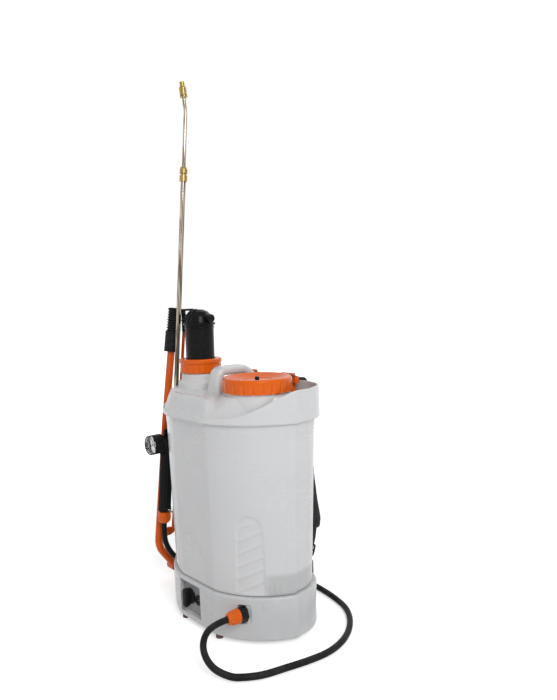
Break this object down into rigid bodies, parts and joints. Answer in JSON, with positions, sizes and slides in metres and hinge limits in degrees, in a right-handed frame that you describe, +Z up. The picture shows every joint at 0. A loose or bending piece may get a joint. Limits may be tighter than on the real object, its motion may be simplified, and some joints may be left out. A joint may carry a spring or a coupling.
{
  "type": "backpack sprayer",
  "caption": "Knapsack sprayer: moulded tank on a base, lever-worked hand pump, screw-cap filler, trigger handle with gauge and telescopic lance, hose and harness.",
  "frame": {"origin": "middle of the object's foot, hose left out, on the floor under the feet", "axes": "+Z up along the lance's height, +X along the tank's width from pump to filler, +Y towards the wearer's back"},
  "size_m": [0.4622, 0.361, 1.073],
  "materials": {
    "tank_plastic": "semi-gloss moulded",
    "orange_plastic": "semi-gloss moulded",
    "black_plastic": "satin moulded",
    "grip_rubber": "satin",
    "hose_rubber": "satin",
    "foot_rubber": "matte",
    "orange_paint": "gloss paint",
    "steel": "polished",
    "brass": "polished",
    "dial_white": "printed",
    "clear_cover": "clear",
    "webbing": "woven",
    "battery_case": "matte",
    "seal_rubber": "matte"
  },
  "bodies": {
    "tank": {"tank_shell": "tank_plastic", "carrying_handle": "tank_plastic", "base_housing": "tank_plastic", "base_plate": "tank_plastic", "rubber_feet": "foot_rubber", "base_screws": "steel", "control_panel": "tank_plastic", "charge_socket": "black_plastic", "socket_contact": "brass", "battery_pack": "battery_case", "electric_pump": "black_plastic", "outlet_fitting": "black_plastic", "strainer_basket": "tank_plastic", "pump_barrel": "black_plastic", "lever_pivot_pin": "steel", "gun_grip": "grip_rubber", "gun_body": "black_plastic", "trigger_bracket": "black_plastic", "trigger_screw": "steel", "gauge_case": "black_plastic", "gauge_dial": "dial_white", "gauge_lens": "clear_cover", "lance_outer_tube": "steel", "lance_sleeve": "brass", "lance_clip": "black_plastic", "hose": "hose_rubber", "shoulder_strap_left": "webbing", "shoulder_strap_right": "webbing", "strap_hooks": "orange_plastic", "strap_anchors": "black_plastic"},
    "cap_seal": {"cap_gasket": "seal_rubber"},
    "cap": {"filler_cap": "orange_plastic"},
    "breather": {"breather_knob": "black_plastic"},
    "ring_nut": {"pump_ring_nut": "orange_plastic"},
    "pump_head": {"pump_chamber": "black_plastic", "pump_dome": "black_plastic", "rod_clip": "steel"},
    "port_cap": {"dome_port_cap": "black_plastic"},
    "lever": {"lever_tube": "orange_paint", "lever_sleeve": "black_plastic", "lever_grip": "grip_rubber"},
    "rod": {"connecting_rod": "orange_paint"},
    "knob": {"speed_knob": "black_plastic"},
    "trigger": {"trigger": "black_plastic"},
    "bail": {"trigger_bail": "steel"},
    "needle": {"gauge_needle": "black_plastic"},
    "lance_end": {"lance_inner_tube": "steel", "nozzle_body": "brass"},
    "spray_cap": {"nozzle_cap": "brass"},
    "lock_nut": {"lance_lock_nut": "brass"},
    "hose_nut": {"tank_hose_nut": "orange_plastic"},
    "handle_nut": {"gun_hose_nut": "orange_plastic"},
    "lance_collar": {"lance_nut": "black_plastic"}
  },
  "joints": [
    {"name": "lever_swing", "type": "hinge", "parent": "tank", "child": "lever", "pos_m": [-0.18575, -0.02649, 0.034], "axis": [-1, 0, 0], "range_deg": [0, 60]},
    {"name": "rod_tilt", "type": "hinge", "parent": "lever", "child": "rod", "pos_m": [-0.16975, -0.03649, 0.114], "axis": [-1, 0, 0], "range_deg": [-69.5, 0.5]},
    {"name": "pump_stroke", "type": "slide", "parent": "tank", "child": "pump_head", "axis": [0, 0, 1], "range_m": [-0.029, 0.0002]},
    {"name": "port_cap_turn", "type": "hinge", "parent": "pump_head", "child": "port_cap", "pos_m": [-0.04345, -0.01089, 0.5785], "axis": [1, 0, 0], "range_deg": [0, 180]},
    {"name": "ring_nut_turn", "type": "hinge", "parent": "tank", "child": "ring_nut", "pos_m": [-0.07445, -0.01389, 0.48], "axis": [0, 0, 1], "range_deg": [0, 180]},
    {"name": "cap_lift", "type": "slide", "parent": "tank", "child": "cap_seal", "axis": [0, 0, 1], "range_m": [0, 0.12]},
    {"name": "cap_turn", "type": "hinge", "parent": "cap_seal", "child": "cap", "pos_m": [0.11325, -0.02749, 0.465], "axis": [0, 0, 1], "continuous": true},
    {"name": "breather_turn", "type": "hinge", "parent": "cap", "child": "breather", "pos_m": [0.11325, -0.02749, 0.47], "axis": [0, 0, 1], "range_deg": [0, 180]},
    {"name": "speed_turn", "type": "hinge", "parent": "tank", "child": "knob", "pos_m": [-0.01025, -0.10849, 0.051], "axis": [0, -1, 0], "range_deg": [0, 270]},
    {"name": "trigger_squeeze", "type": "hinge", "parent": "tank", "child": "trigger", "pos_m": [-0.16075, -0.02849, 0.301], "axis": [-1, 0, 0], "range_deg": [0, 6], "stiffness_Nm_per_rad": 4, "springref_deg": -1.15},
    {"name": "bail_swing", "type": "hinge", "parent": "tank", "child": "bail", "pos_m": [-0.16075, -0.06018, 0.176], "axis": [1, 0, 0], "range_deg": [-8, 70]},
    {"name": "needle_sweep", "type": "hinge", "parent": "tank", "child": "needle", "pos_m": [-0.16075, -0.07649, 0.317], "axis": [0, 1, 0], "range_deg": [0, 250]},
    {"name": "lance_extend", "type": "slide", "parent": "tank", "child": "lance_end", "axis": [0, 0.0911, 0.9958], "range_m": [0, 0.3]},
    {"name": "lock_nut_turn", "type": "hinge", "parent": "tank", "child": "lock_nut", "pos_m": [-0.16075, 0.02389, 0.888], "axis": [0, 0.0911, 0.9958], "range_deg": [0, 180]},
    {"name": "spray_cap_turn", "type": "hinge", "parent": "lance_end", "child": "spray_cap", "pos_m": [-0.16075, 0.03085, 1.05324], "axis": [0, -0.1132, 0.9936], "range_deg": [0, 270]},
    {"name": "hose_nut_turn", "type": "hinge", "parent": "tank", "child": "hose_nut", "pos_m": [0.12825, -0.08449, 0.058], "axis": [-0.2079, -0.9781, 0], "range_deg": [0, 180]},
    {"name": "handle_nut_turn", "type": "hinge", "parent": "tank", "child": "handle_nut", "pos_m": [-0.16075, -0.06262, 0.15], "axis": [0, 0.0933, 0.9956], "range_deg": [0, 180]},
    {"name": "lance_collar_turn", "type": "hinge", "parent": "tank", "child": "lance_collar", "pos_m": [-0.16075, -0.02488, 0.355], "axis": [0, 0.0911, 0.9958], "range_deg": [0, 180]}
  ],
  "couplings": [
    {"joint": "rod_tilt", "follows": "lever_swing", "ratio": -1.1528},
    {"joint": "pump_stroke", "follows": "lever_swing", "m_per_rad": -0.027407}
  ]
}
